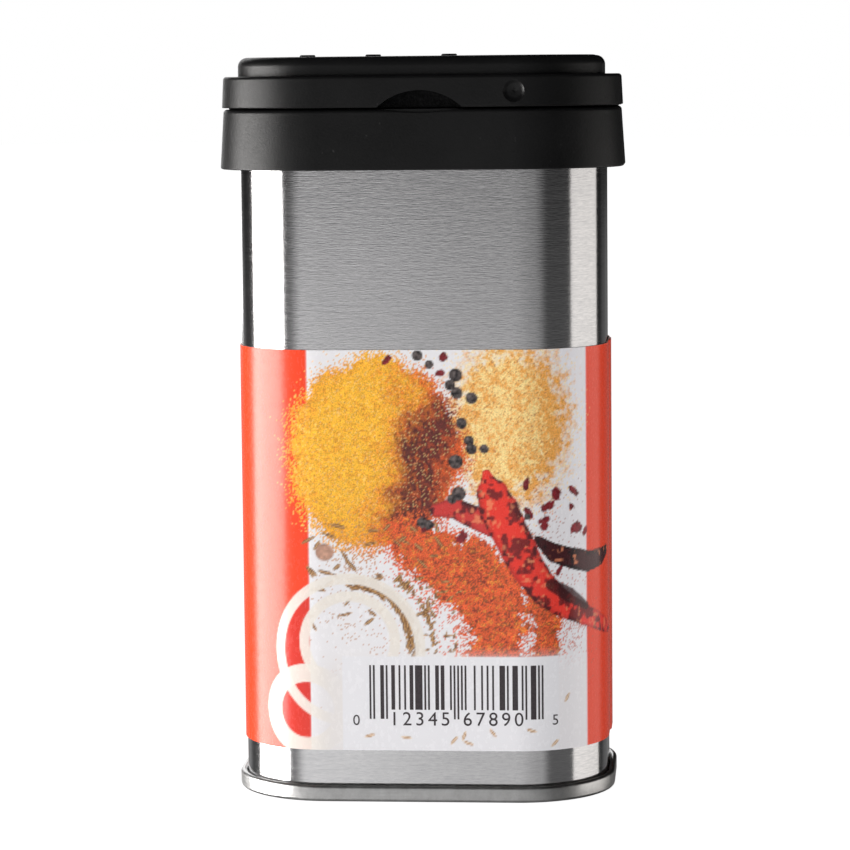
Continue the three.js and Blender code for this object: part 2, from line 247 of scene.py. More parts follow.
def loft(name, outline, levels, closed=False, brushed=False):
    """Joins one outline a level into a ring (closed) or a block capped at both ends."""
    vertices = [(x, y, z) for offset, z in levels for x, y in outline(offset)]
    count = len(vertices) // len(levels)
    obj = add_object(name, vertices, ring_faces(len(levels), count, closed))
    if brushed:
        wall_uv(obj, outline(0))
    return obj


def wall_uv(obj, outline):
    """Lays the wall out flat, in metres: U runs round the can and V runs up it. Caps take
    X and Y."""
    count = len(outline)
    steps = [math.dist(outline[i], outline[(i + 1) % count]) for i in range(count)]
    around = np.concatenate(([0.0], np.cumsum(steps))) * MM
    layer = obj.data.uv_layers.new(name="wall")
    for face in obj.data.polygons:
        cap = len(face.vertices) > 4
        wraps = face.index % count == count - 1
        for loop in face.loop_indices:
            vertex = obj.data.loops[loop].vertex_index
            column = vertex % count
            u = around[count] if wraps and column == 0 else around[column]
            position = obj.data.vertices[vertex].co
            layer.data[loop].uv = (position.x, position.y) if cap else (u, position.z)


def box(name, low, high):
    corners = [(x, y, z) for z in (low[2], high[2]) for y in (low[1], high[1])
               for x in (low[0], high[0])]
    faces = [(0, 2, 3, 1), (4, 5, 7, 6), (0, 1, 5, 4), (1, 3, 7, 5), (3, 2, 6, 7), (2, 0, 4, 6)]
    return add_object(name, corners, faces)


def slab(front, back):
    """A block that takes in all of the closure between two depths."""
    return box("slab", (-60, front, 100), (60, back, 150))


def turned(name, profile, sides, place):
    """Stacks circles (radius, height) along a direction. place maps (x, y, height) to a point."""
    vertices = []
    for radius, height in profile:
        for i in range(sides):
            x, y = polar((0, 0), radius, 2 * math.pi * i / sides)
            vertices.append(place(x, y, height))
    return add_object(name, vertices, ring_faces(len(profile), sides))


def along_z(x, y):
    return lambda u, v, height: (x + u, y + v, height)


def along_y(x, z):
    return lambda u, v, height: (x + v, height, z + u)


def evaluated_mesh(obj):
    bpy.context.view_layer.update()
    return bpy.data.meshes.new_from_object(
        obj.evaluated_get(bpy.context.evaluated_depsgraph_get()))


def apply_modifiers(obj):
    result = evaluated_mesh(obj)
    obj.modifiers.clear()
    obj.data = result


def combine(obj, others, operation):
    """Boolean of obj with each of the others, which are used up."""
    for other in others:
        modifier = obj.modifiers.new("cut", "BOOLEAN")
        modifier.operation = operation
        modifier.solver = "EXACT"
        modifier.object = other
        apply_modifiers(obj)
        bpy.data.objects.remove(other)
    return obj


def soften(obj, width, angle=35):
    """Rounds the sharp edges a mould or a punch leaves, then shades the rest smooth."""
    if width:
        modifier = obj.modifiers.new("edges", "BEVEL")
        modifier.width = width * MM
        modifier.segments = 2
        modifier.limit_method = "ANGLE"
        modifier.angle_limit = math.radians(angle)
        apply_modifiers(obj)
    obj.data.shade_smooth()
    obj.data.set_sharp_from_angle(angle=math.radians(32))
    if width:
        modifier = obj.modifiers.new("normals", "WEIGHTED_NORMAL")
        modifier.keep_sharp = True
        apply_modifiers(obj)


def segment_radius(chord, rise):
    """Radius of the arc that rises this much over this chord."""
    return chord * chord / (8 * rise) + rise / 2


# ------------------------------------------------------------------ materials

def new_material(name):
    material = bpy.data.materials.new(name)
    material.use_nodes = True
    tree = material.node_tree
    return material, tree, tree.nodes["Principled BSDF"]


def add_node(tree, kind, **values):
    node = tree.nodes.new(kind)
    for key, value in values.items():
        if key in node.inputs:
            node.inputs[key].default_value = value
        else:
            setattr(node, key, value)
    return node


def feed(tree, node, values):
    """Fills inputs of a node by number: a socket is linked, any other value is stored."""
    for index, value in values.items():
        if isinstance(value, bpy.types.NodeSocket):
            tree.links.new(value, node.inputs[index])
        else:
            node.inputs[index].default_value = value


def stretched_noise(tree, coordinates, scale, detail, roughness=0.55):
    mapping = add_node(tree, "ShaderNodeMapping", Scale=scale)
    noise = add_node(tree, "ShaderNodeTexNoise", Scale=1.0, Detail=detail, Roughness=roughness)
    tree.links.new(coordinates, mapping.inputs["Vector"])
    tree.links.new(mapping.outputs["Vector"], noise.inputs["Vector"])
    return noise.outputs["Fac"]


def wall_noise(tree, length, height, detail):
    """Noise laid on the can's wall, its features this long and high, in metres."""
    uv = add_node(tree, "ShaderNodeUVMap", uv_map="wall").outputs["UV"]
    return stretched_noise(tree, uv, (1 / length, 1 / height, 1), detail)


def solid_noise(tree, scale, detail, roughness=0.55):
    """Noise in a piece's own space, with scale features a metre."""
    place = add_node(tree, "ShaderNodeTexCoord").outputs["Object"]
    return stretched_noise(tree, place, (scale, scale, scale), detail, roughness)


def map_range(tree, value, low, high, to_low, to_high):
    node = add_node(tree, "ShaderNodeMapRange")
    feed(tree, node, {0: value, 1: low, 2: high, 3: to_low, 4: to_high})
    return node.outputs["Result"]


def mix_colour(tree, factor, first, second, blend="MIX"):
    node = add_node(tree, "ShaderNodeMix", data_type="RGBA", blend_type=blend)
    feed(tree, node, {0: factor, 6: first, 7: second})
    return node.outputs[2]


def shades(tree, value, low, high, dark, light):
    """A colour that goes from dark to light as the value goes from low to high."""
    return mix_colour(tree, map_range(tree, value, low, high, 0, 1), (*dark, 1), (*light, 1))


def math_node(tree, operation, first, second):
    node = add_node(tree, "ShaderNodeMath", operation=operation)
    feed(tree, node, {0: first, 1: second})
    return node.outputs[0]


def bump(tree, shader, height, strength, distance):
    node = add_node(tree, "ShaderNodeBump", Strength=strength, Distance=distance)
    tree.links.new(height, node.inputs["Height"])
    tree.links.new(node.outputs["Normal"], shader.inputs["Normal"])


def brushed_steel():
    """Tinplate with a fine grain brushed round the can."""
    material, tree, shader = new_material("brushed_steel")
    fine = wall_noise(tree, 0.0014, 0.00022, 3)
    streaks = wall_noise(tree, 0.006, 0.0006, 4)
    clouds = wall_noise(tree, 0.025, 0.030, 2)
    grain = math_node(tree, "ADD", math_node(tree, "MULTIPLY", fine, 0.6),
                      math_node(tree, "MULTIPLY", streaks, 0.4))
    tone = shades(tree, grain, 0.36, 0.64, (0.55, 0.545, 0.555), (0.72, 0.71, 0.715))
    tree.links.new(tone, shader.inputs["Base Color"])
    rough = math_node(tree, "ADD", map_range(tree, grain, 0.3, 0.7, 0.12, 0.19),
                      map_range(tree, clouds, 0.3, 0.7, -0.02, 0.02))
    tree.links.new(rough, shader.inputs["Roughness"])
    shader.inputs["Metallic"].default_value = 1.0
    shader.inputs["Anisotropic"].default_value = 0.6
    shader.inputs["Anisotropic Rotation"].default_value = 0.25
    tangent = add_node(tree, "ShaderNodeTangent", direction_type="RADIAL", axis="Z")
    tree.links.new(tangent.outputs["Tangent"], shader.inputs["Tangent"])
    bump(tree, shader, grain, 0.9, 0.00002)
    return material


def seam_steel():
    """The rolled seam and the bottom: plain tinplate, drawn and a little scuffed."""
    material, tree, shader = new_material("seam_steel")
    fine = wall_noise(tree, 0.008, 0.0003, 3)
    scuffs = solid_noise(tree, 400, 5, 0.7)
    tone = shades(tree, scuffs, 0.35, 0.65, (0.56, 0.555, 0.55), (0.72, 0.715, 0.71))
    tree.links.new(tone, shader.inputs["Base Color"])
    rough = math_node(tree, "ADD", map_range(tree, fine, 0.3, 0.7, 0.28, 0.38),
                      map_range(tree, scuffs, 0.4, 0.75, 0.0, 0.08))
    tree.links.new(rough, shader.inputs["Roughness"])
    shader.inputs["Metallic"].default_value = 1.0
    bump(tree, shader, fine, 0.3, 0.00001)
    return material


def black_plastic():
    """Black polypropylene with the fine texture its mould leaves, rubbed smoother in places."""
    material, tree, shader = new_material("black_polypropylene")
    texture = solid_noise(tree, 2600, 3, 0.6)
    wear = solid_noise(tree, 70, 4, 0.6)
    specks = solid_noise(tree, 900, 2, 0.5)
    tone = shades(tree, wear, 0.35, 0.7, (0.0030, 0.0030, 0.0032), (0.0050, 0.0050, 0.0053))
    dusted = mix_colour(tree, map_range(tree, specks, 0.74, 0.80, 0, 0.5), tone,
                        (0.05, 0.05, 0.05, 1))
    tree.links.new(dusted, shader.inputs["Base Color"])
    rough = math_node(tree, "ADD", map_range(tree, texture, 0.3, 0.7, 0.35, 0.46),
                      map_range(tree, wear, 0.3, 0.7, -0.04, 0.04))
    tree.links.new(rough, shader.inputs["Roughness"])
    shader.inputs["IOR"].default_value = 1.49
    shader.inputs["Specular IOR Level"].default_value = 0.41
    bump(tree, shader, texture, 0.5, 0.00005)
    return material


def shaded_coarse_plastic():
    """The floor of a thumb notch: the same plastic, darker and duller as painted shade in the
    recess, with a coarse grain.
    """
    material, tree, shader = new_material("shaded_coarse_polypropylene")
    grain = solid_noise(tree, 1900, 3, 0.65)
    tone = shades(tree, grain, 0.40, 0.70, (0.0010, 0.0010, 0.0012), (0.0075, 0.0075, 0.0080))
    tree.links.new(tone, shader.inputs["Base Color"])
    tree.links.new(map_range(tree, grain, 0.3, 0.7, 0.50, 0.64), shader.inputs["Roughness"])
    shader.inputs["IOR"].default_value = 1.49
    shader.inputs["Specular IOR Level"].default_value = 0.10
    bump(tree, shader, grain, 0.8, 0.00020)
    return material


def printed_paper():
    """Coated label paper: the printed colours, with dot grain, fibre and a soft gloss."""
    material, tree, shader = new_material("printed_paper")
    ink = add_node(tree, "ShaderNodeAttribute", attribute_name="print")
    grain = add_node(tree, "ShaderNodeAttribute", attribute_name="grain")
    place = add_node(tree, "ShaderNodeTexCoord").outputs["Object"]
    fibre = stretched_noise(tree, place, (1500, 1500, 900), 3, 0.6)
    shade = map_range(tree, solid_noise(tree, 3400, 2, 0.6), 0.30, 0.70, 0.55, 1.40)
    powdery = mix_colour(tree, 1.0, ink.outputs["Color"], shade, "MULTIPLY")
    tone = mix_colour(tree, grain.outputs["Fac"], ink.outputs["Color"], powdery)
    tree.links.new(tone, shader.inputs["Base Color"])
    tree.links.new(map_range(tree, fibre, 0.3, 0.7, 0.22, 0.30), shader.inputs["Roughness"])
    shader.inputs["IOR"].default_value = 1.5
    bump(tree, shader, fibre, 0.08, 0.00002)
    return material


def printing_ink():
    """Dark ink of the bar code, slightly uneven where the paper's fibre shows."""
    material, tree, shader = new_material("printing_ink")
    mottle = solid_noise(tree, 2500, 3, 0.6)
    tone = shades(tree, mottle, 0.35, 0.65, (0.030, 0.022, 0.026), (0.055, 0.042, 0.047))
    tree.links.new(tone, shader.inputs["Base Color"])
    tree.links.new(map_range(tree, mottle, 0.3, 0.7, 0.30, 0.42), shader.inputs["Roughness"])
    return material


def lining_compound():
    """The dull, lumpy compound that seals the seam."""
    material, tree, shader = new_material("lining_compound")
    lumps = solid_noise(tree, 900, 4)
    tone = shades(tree, lumps, 0.35, 0.65, (0.13, 0.11, 0.08), (0.19, 0.17, 0.13))
    tree.links.new(tone, shader.inputs["Base Color"])
    tree.links.new(map_range(tree, lumps, 0.3, 0.7, 0.7, 0.9), shader.inputs["Roughness"])
    bump(tree, shader, lumps, 0.3, 0.00005)
    return material


STEEL = brushed_steel()
SEAM_STEEL = seam_steel()
PLASTIC = black_plastic()
# The notch floor's plastic carries painted shade: it is darker and duller than the rest.
SHADED_COARSE_PLASTIC = shaded_coarse_plastic()
PAPER = printed_paper()
INK = printing_ink()
COMPOUND = lining_compound()


def finish_piece(obj, material, body, slot_name, *nodes):
    """Gives a piece its material and body, and hides the CAD nodes it stands for. Its slot name is
    not used.
    """
    if not obj.data.materials:
        obj.data.materials.append(material)
    obj.data.materials[0] = material
    if body:
        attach(obj, body)
    if nodes:
        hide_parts(*nodes)


# ------------------------------------------------------------------ can

def can_body():
    """The sleeve: folded out round the seam at the foot and rolled outwards at the mouth."""
    bend_radius = (BODY_HOOK - BODY_WALL) / 2
    bend_centre = ((BODY_HOOK + BODY_WALL) / 2, BODY_FOLD_LEVEL)
    curl_centre = (BODY_WALL + CURL_RADIUS, CURL_TOP - SHEET / 2 - CURL_RADIUS)
    line = [(BODY_HOOK, BODY_HOOK_END)]
    line += arc(bend_centre, bend_radius, 0, -180, 10)
    # Two rings close to the bends keep the wall's own shading flat between them.
    line += [(BODY_WALL, 1.6), (BODY_WALL, curl_centre[1] - 0.6)]
    line += arc(curl_centre, CURL_RADIUS, 180, -110, 20)
    wall = loft("can_body_shell", can_outline, sheet_section(line, SHEET), True, brushed=True)
    soften(wall, 0)
    finish_piece(wall, STEEL, "tin", "steel", "can_body")


def body_lap():
    """The inner edge of the side lap, welded down inside the left wall."""
    inside = -HALF_WIDTH + SHEET
    lap = box("can_body_lap", (inside - 0.1, -LAP_WIDTH / 2, PANEL_RIM_LEVEL + 1),
              (inside + SHEET, LAP_WIDTH / 2, CURL_TOP - 2 * CURL_RADIUS))
    layer = lap.data.uv_layers.new(name="wall")
    for loop in lap.data.loops:
        position = lap.data.vertices[loop.vertex_index].co
        layer.data[loop.index].uv = (position.y, position.z)
    soften(lap, 0.08)
    finish_piece(lap, STEEL, "tin", "steel")


def can_bottom():
    """The recessed bottom, which climbs to the seam and folds round the sleeve's hook."""
    fold = 0.45
    top_radius = (SEAMING_WALL - COVER_HOOK) / 2
    top_centre = ((SEAMING_WALL + COVER_HOOK) / 2, SEAM_HEIGHT - SHEET / 2 - top_radius)
    line = [(PANEL_EDGE - 0.6, PANEL_LEVEL), (PANEL_EDGE, PANEL_LEVEL),
            (PANEL_EDGE + 0.6, PANEL_RIM_LEVEL)]
    line += arc((CHUCK_WALL - fold, PANEL_RIM_LEVEL - fold), fold, 90, 0, 6)
    line += arc((CHUCK_WALL + fold, SHEET / 2 + fold), fold, 180, 270, 8)
    line += arc((SEAMING_WALL - fold, SHEET / 2 + fold), fold, -90, 0, 10)
    line += arc(top_centre, top_radius, 0, 180, 14)
    line += [(COVER_HOOK, COVER_HOOK_END)]
    bottom = loft("can_bottom_end", can_outline, sheet_section(line, SHEET), brushed=True)
    soften(bottom, 0)
    finish_piece(bottom, SEAM_STEEL, "tin", "steel", "can_bottom")


# ------------------------------------------------------------------ closure

def closure_base():
    """Skirt, deck, mouth plug, snap ribs and spine, with the holes cut through the deck."""
    shell = loft("closure_base_moulding", can_outline, [
        (SKIRT_FOOT - 0.3, SKIRT_LOW),
        (SKIRT_FOOT - 0.09, SKIRT_LOW + 0.09),
        (SKIRT_FOOT, SKIRT_LOW + 0.3),
        *arc((SKIRT_TOP + 0.02 - SKIRT_EDGE, PARTING_LEVEL - SKIRT_EDGE), SKIRT_EDGE, 0, 90, 8),
    ])
    pocket = loft("pocket", can_outline, [
        (SKIRT_INSIDE, SKIRT_LOW - 1), (SKIRT_INSIDE, DECK_LOW - 0.4),
        (SKIRT_INSIDE - 0.12, DECK_LOW - 0.12), (SKIRT_INSIDE - 0.4, DECK_LOW),
    ])
    combine(shell, [pocket], "DIFFERENCE")
    low = DECK_LOW - PLUG_DEPTH
    plug = loft("plug", can_outline, [
        (PLUG_OUTSIDE - 0.3, low), (PLUG_OUTSIDE, low + 0.8), (PLUG_OUTSIDE, DECK_LOW + 0.2),
        (PLUG_OUTSIDE - PLUG_WALL, DECK_LOW + 0.2), (PLUG_OUTSIDE - PLUG_WALL, low),
    ], True)
    combine(shell, [plug, *snap_ribs(), spine()], "UNION")
    cuts = [spine_core()]
    for y, count in SIFTER_ROWS:
        for i in range(count):
            x = (i - (count - 1) / 2) * SIFTER_PITCH
            hole = [(SIFTER_RADIUS, UNDER_DECK), (SIFTER_RADIUS, OVER_DECK)]
            cuts.append(turned("hole", hole, 40, along_z(x, y)))
    cuts.append(loft("spoon", lambda offset: rounded(SPOON_PLAN, offset, 12),
                     [(0, UNDER_DECK), (0, OVER_DECK)]))
    cuts += [finger_scoop(side) for side in (-1, 1)]
    combine(shell, cuts, "DIFFERENCE")
    soften(shell, 0.12, 40)
    finish_piece(shell, PLASTIC, "closure", "closure", "closure_base")


def snap_ribs():
    """Short ribs inside the skirt, just under the can's rolled edge."""
    high = CURL_TOP - 2 * CURL_RADIUS - SHEET - 0.3
    low = high - SNAP_HEIGHT
    ribs = []
    for side in (-1, 1):
        for x in (-10, 10):
            wall = side * (HALF_DEPTH + SKIRT_INSIDE)
            ends = sorted((wall - side * SNAP_STAND, wall + side * 0.3))
            ribs.append(box("rib", (x - 3, ends[0], low), (x + 3, ends[1], high)))
        wall = side * (HALF_WIDTH + SKIRT_INSIDE)
        ends = sorted((wall - side * SNAP_STAND, wall + side * 0.3))
        ribs.append(box("rib", (ends[0], -3, low), (ends[1], 3, high)))
    return ribs


def spine():
    """The fixed bar across the closure, between the two flaps."""
    bar = loft("spine", can_outline, [
        (SPINE_END - 0.4, PARTING_LEVEL - 0.7), (SPINE_END, FLAP_LOW),
        (SPINE_END - 0.2, LEDGE_LEVEL - 0.5), (SPINE_END - 0.6, LEDGE_LEVEL),
    ])
    return combine(bar, [slab(-SPINE_HALF, SPINE_HALF)], "INTERSECT")


def spine_core():
    """The hollow inside the spine, open below."""
    wall = 1.2
    half = SPINE_HALF - wall
    length = HALF_WIDTH + PLUG_OUTSIDE - PLUG_WALL - 0.5
    return box("core", (-length, -half, UNDER_DECK), (length, half, LEDGE_LEVEL - wall))


def finger_scoop(side):
    """Cuts the shallow dip in the skirt's top edge under a thumb notch."""
    radius = segment_radius(NOTCH_CHORD, SCOOP_DROP)
    face = side * (HALF_DEPTH + SKIRT_TOP)
    ends = sorted((face - side * SCOOP_DEPTH, face + side))
    return turned("scoop", [(radius, ends[0]), (radius, ends[1])], 320,
                  along_y(-side * NOTCH_X, PARTING_LEVEL - SCOOP_DROP + radius))


def flap(name, marked):
    """The front flap in its closed place."""
    whole = loft(name, can_outline, [
        (FLAP_FOOT - 0.1, FLAP_LOW), (FLAP_FOOT, FLAP_LOW + 0.15),
        *arc((FLAP_SHOULDER - FLAP_EDGE, LEDGE_LEVEL - FLAP_EDGE), FLAP_EDGE, 0, 90, 7),
    ])
    combine(whole, [slab(-60, -FLAP_EDGE_Y)], "INTERSECT")
    platform = loft("platform", platform_outline, [
        (0, LEDGE_LEVEL - 0.5),
        *arc((-PLATFORM_FILLET, FLAP_TOP - PLATFORM_FILLET), PLATFORM_FILLET, 0, 90, 12),
    ])
    combine(whole, [platform], "UNION")
    combine(whole, [flap_hollow(), thumb_notch()], "DIFFERENCE")
    if marked:
        combine(whole, [round_mark()], "DIFFERENCE")
        dot = [(DOT_RADIUS, FLAP_TOP - 0.5), (DOT_RADIUS, FLAP_TOP + 0.2),
               (DOT_RADIUS - 0.15, FLAP_TOP + 0.35)]
        combine(whole, [turned("dot", dot, 28, along_z(x, DOTS_Y)) for x in DOTS_X], "UNION")
    soften(whole, 0.12, 40)
    whole.data.materials.append(PLASTIC)
    shade_and_roughen_notch(whole)
    return whole


def flap_hollow():
    """The flap's inside, less the wall behind its notch and its sealing ring."""
    hollow = loft("tier_core", can_outline, [
        (FLAP_FOOT - FLAP_WALL, FLAP_LOW - 1), (FLAP_SHOULDER - FLAP_WALL, LEDGE_LEVEL - FLAP_WALL),
    ])
    combine(hollow, [slab(-60, -FLAP_EDGE_Y - FLAP_WALL)], "INTERSECT")
    core = loft("core", platform_outline, [
        (-FLAP_WALL, FLAP_LOW), (-FLAP_WALL, FLAP_TOP - PLATFORM_FILLET),
        (-PLATFORM_FILLET - 0.2, FLAP_TOP - FLAP_WALL - 0.1),
    ])
    combine(hollow, [core], "UNION")
    half_notch = NOTCH_CHORD / 2 + 1.2
    backing = box("backing", (NOTCH_X - half_notch, FLAP_FACE_Y + 0.6, FLAP_LOW),
                  (NOTCH_X + half_notch, FLAP_FACE_Y + NOTCH_DEPTH + FLAP_WALL, LEDGE_LEVEL - 0.5))
    return combine(hollow, [backing, sealing_ring()], "DIFFERENCE")


def thumb_notch():
    """Cuts a segment of a circle out of the flap's lower edge."""
    radius = segment_radius(NOTCH_CHORD, NOTCH_RISE)
    return turned("notch", [(radius, FLAP_FACE_Y - 1), (radius, FLAP_FACE_Y + NOTCH_DEPTH)], 160,
                  along_y(NOTCH_X, FLAP_LOW + NOTCH_RISE - radius))


def shade_and_roughen_notch(whole):
    """Gives the floor of the front flap's notch its coarse finish, darkened as painted shade."""
    whole.data.materials.append(SHADED_COARSE_PLASTIC)
    floor_y = (FLAP_FACE_Y + NOTCH_DEPTH) * MM
    for face in whole.data.polygons:
        near = abs(face.center.y - floor_y) < 0.02 * MM
        if near and face.normal.y < -0.9 and face.center.z < (FLAP_LOW + NOTCH_RISE) * MM:
            face.material_index = 1


def sealing_ring():
    """The rib under the flap that closes on the deck round its holes."""
    low = PARTING_LEVEL + 0.5
    high = FLAP_TOP - FLAP_WALL / 2
    return loft("sealing", lambda offset: rounded(SEALING_PLAN, offset, 12),
                [(0, low), (0, high), (-SEALING_WALL, high), (-SEALING_WALL, low)], True)


def round_mark():
    """The shallow round dish, with a small pit in the middle of its floor."""
    face = -HALF_DEPTH - (FLAP_FOOT + FLAP_SHOULDER) / 2
    depths = ((2.5, -0.6), (2.0, 0), (1.75, 0.2), (1.45, 0.42), (1.15, MARK_DEPTH),
              (0.35, MARK_DEPTH), (0.28, MARK_DEPTH + 0.16))
    return turned("mark", [(radius, face + depth) for radius, depth in depths], 48,
                  along_y(MARK_X, MARK_Z))


def hinge_web(name, x, side):
    """A thin strip of plastic that joins a flap to the spine, thinnest in its middle."""
    steps = 10
    near = side * (SPINE_HALF + 0.02)
    far = side * (FLAP_EDGE_Y - 0.02)
    vertices = []
    for share in np.linspace(0, 1, steps + 1):
        y = near + (far - near) * share
        thin = WEB_THICKNESS / 2 * (0.55 + 0.45 * abs(2 * share - 1))
        for dx, dz in ((-1, -1), (1, -1), (1, 1), (-1, 1)):
            vertices.append((x + dx * WEB_LENGTH / 2, y, HINGE_Z + dz * thin))
    faces = ring_faces(steps + 1, 4)
    if side < 0:
        faces = [tuple(reversed(face)) for face in faces]
    web = add_object(f"{name}_web", vertices, faces)
    soften(web, 0)
    finish_piece(web, PLASTIC, None, "closure")
    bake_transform(web)
    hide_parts(name)


# ------------------------------------------------------------------ label: where it lies

def label_point(s):
    """Plan position and outward direction at s along the label: 0 at the front's middle,
    growing to the right, falling below zero round the left side and the back."""
    around = (s + LABEL_AROUND / 2) % LABEL_AROUND - LABEL_AROUND / 2
    if s > RIGHT_MIDDLE + 0.001:
        around = s
    side = 1 if around >= 0 else -1
    along = abs(around)
    if along <= LABEL_FLAT:
        x, y, nx, ny = along, -HALF_DEPTH, 0.0, -1.0
    elif along <= LABEL_FLAT + LABEL_CORNER_LENGTH:
        angle = (along - LABEL_FLAT) / LABEL_RADIUS
        nx, ny = math.sin(angle), -math.cos(angle)
        x, y = LABEL_FLAT + CORNER * nx, -LABEL_SIDE_HALF + CORNER * ny
    elif along <= RIGHT_MIDDLE + LABEL_SIDE_HALF:
        x, y, nx, ny = HALF_WIDTH, along - RIGHT_MIDDLE, 1.0, 0.0
    elif along <= RIGHT_MIDDLE + LABEL_SIDE_HALF + LABEL_CORNER_LENGTH:
        angle = (along - RIGHT_MIDDLE - LABEL_SIDE_HALF) / LABEL_RADIUS
        nx, ny = math.cos(angle), math.sin(angle)
        x, y = LABEL_FLAT + CORNER * nx, LABEL_SIDE_HALF + CORNER * ny
    else:
        past = along - RIGHT_MIDDLE - LABEL_SIDE_HALF - LABEL_CORNER_LENGTH
        x, y, nx, ny = LABEL_FLAT - past, HALF_DEPTH, 0.0, 1.0
    return side * x, y, side * nx, ny


def lap_lift(s):
    """How far the label stands off where its end laps over its start."""
    start = RIGHT_MIDDLE - 2.3
    return LABEL_STEP * min(max((s - start) / 1.4, 0), 1)


def on_label(s, z, height):
    x, y, nx, ny = label_point(s)
    offset = LABEL_OFFSET + lap_lift(s) + height
    return x + nx * offset, y + ny * offset, z


def label_sheet(name, columns, rows):
    """One sheet of the label: a fine printed face, a plain back and closed edges. Also gives
    each point's place (s, z) and how many points the face has."""
    vertices = [on_label(s, z, 0) for s in columns for z in rows]
    count = len(rows)
    width = len(columns)
    faces = []
    for i in range(width - 1):
        for j in range(count - 1):
            low = i * count + j
            faces.append((low, low + count, low + count + 1, low + 1))
    base = len(vertices)
    for s in columns:
        vertices.append(on_label(s, rows[0], -LABEL_THICKNESS))
        vertices.append(on_label(s, rows[-1], -LABEL_THICKNESS))
    for i in range(width - 1):
        low = base + 2 * i
        faces.append((low + 1, low + 3, low + 2, low))
        faces.append((i * count, low, low + 2, (i + 1) * count))
        top = i * count + count - 1
        faces.append((top, top + count, low + 3, low + 1))
    faces.append(tuple(range(count)) + (base + 1, base))
    end = (width - 1) * count
    faces.append(tuple(reversed(range(end, end + count))) + (base + 2 * width - 2,
                                                               base + 2 * width - 1))
    sheet = add_object(name, vertices, faces)
    plane = [(s, z) for s in columns for z in rows]
    plane += [(s, z) for s in columns for z in (rows[0], rows[-1])]
    return sheet, np.array(plane), base


# ------------------------------------------------------------------ label: its printing

def lattice_noise(x, y, seed):
    """Smooth noise from 0 to 1 that repeats every 256 steps."""
    values = np.random.RandomState(seed).rand(256, 256)
    column = np.floor(x).astype(int)
    row = np.floor(y).astype(int)
    u = x - column
    v = y - row
    u = u * u * (3 - 2 * u)
    v = v * v * (3 - 2 * v)
    a = values[column % 256, row % 256]
    b = values[(column + 1) % 256, row % 256]
    c = values[column % 256, (row + 1) % 256]
    d = values[(column + 1) % 256, (row + 1) % 256]
    return (a * (1 - u) + b * u) * (1 - v) + (c * (1 - u) + d * u) * v


def cloud_noise(x, y, seed, octaves):
    total = 0
    weight = 0
    for octave in range(octaves):
        share = 0.55 ** octave
        total = total + share * lattice_noise(x * 2 ** octave, y * 2 ** octave, seed + octave)
        weight += share
    return total / weight


def smooth_step(low, high, value):
    t = np.clip((value - low) / (high - low), 0, 1)
    return t * t * (3 - 2 * t)


def rgb(red, green, blue):
    """A colour as it appears, from 0 to 255, as linear light."""
    value = np.array((red, green, blue)) / 255
    return np.where(value <= 0.04045, value / 12.92, ((value + 0.055) / 1.055) ** 2.4)


def blended(first, second, share):
    """From the first colour to the second, as each point's share goes from 0 to 1."""
    share = share[:, None]
    return first * (1 - share) + second * share


def hump(value, middle, width):
    return np.exp(-((value - middle) / width) ** 2)


def band(value, low, high, soft=0.1):
    """1 between low and high, with edges that are soft to each side."""
    rise = smooth_step(low - soft, low + soft, value)
    return rise * (1 - smooth_step(high - soft, high + soft, value))


RED = rgb(238, 64, 24)
SEED_BROWN = rgb(98, 60, 34)
SEED_TAN = rgb(206, 158, 98)


class Print:
    """Printed colours at the points (s, z) of the label. rise is how far up the picture sits."""

    def __init__(self, plane, seed, rise):
        self.s = plane[:, 0]
        self.height = plane[:, 1]
        self.z = self.height - rise
        self.random = np.random.RandomState(seed)
        self.speck = self.random.rand(len(self.s))
        self.seed = seed
        self.colour = np.tile(rgb(235, 233, 236), (len(self.s), 1))
        self.grain = np.zeros(len(self.s))

    def paint(self, cover, colour, grain=0.0):
        cover = np.clip(cover, 0, 1)
        self.colour = blended(self.colour, colour, cover)
        self.grain = self.grain * (1 - cover) + grain * cover

    def noise(self, size, extra, octaves=3):
        return cloud_noise(self.s / size + 300, self.z / size + 300, self.seed + extra, octaves)

    def strewn(self, out, share, start, fall, reach):
        """Loose grains round a heap: this share of the points at start, then ever fewer."""
        return (self.speck < share * np.exp(-np.maximum(out - start, 0) * fall)) & (out < reach)

    def path(self, points, widths):
        """Distance from a line of points, as a share of the width there."""
        nearest = np.full(len(self.s), 9.0)
        for i in range(len(points) - 1):
            start = np.array(points[i])
            step = np.array(points[i + 1]) - start
            t = ((self.s - start[0]) * step[0] + (self.z - start[1]) * step[1]) / step.dot(step)
            t = np.clip(t, 0, 1)
            away = np.hypot(self.s - start[0] - t * step[0], self.z - start[1] - t * step[1])
            nearest = np.minimum(nearest, away / (widths[i] + t * (widths[i + 1] - widths[i])))
        return nearest

    def distance(self, centre):
        return np.hypot(self.s - centre[0], self.z - centre[1])

    def oval(self, centre, half, angle=0):
        """Distance from an oval's middle: 1 at its edge, and the two directions in it."""
        turn = math.radians(angle)
        ds = self.s - centre[0]
        dz = self.z - centre[1]
        u = (ds * math.cos(turn) + dz * math.sin(turn)) / half[0]
        v = (-ds * math.sin(turn) + dz * math.cos(turn)) / half[1]
        return np.hypot(u, v), u, v


def paint_peppercorn(art, centre, radius):
    out, u, v = art.oval(centre, (radius, radius))
    light = smooth_step(0.5, 0.0, np.hypot(u + 0.25, v - 0.35)) * 0.8
    tone = np.clip(art.noise(0.45, 90, 2) - 0.25 + light * 0.6, 0, 1)
    art.paint(1 - smooth_step(0.86, 1.06, out), blended(rgb(22, 17, 20), rgb(124, 112, 110), tone))


def paint_seed(art, centre, length, width, angle, colour=SEED_BROWN, light=SEED_TAN):
    out, _, v = art.oval(centre, (length / 2, width / 2), angle)
    stripe = smooth_step(0.1, 0.5, np.abs(v)) * 0.7 + 0.3 * art.speck
    art.paint((1 - smooth_step(0.8, 1.15, out)) * 0.95, blended(light, colour, stripe))


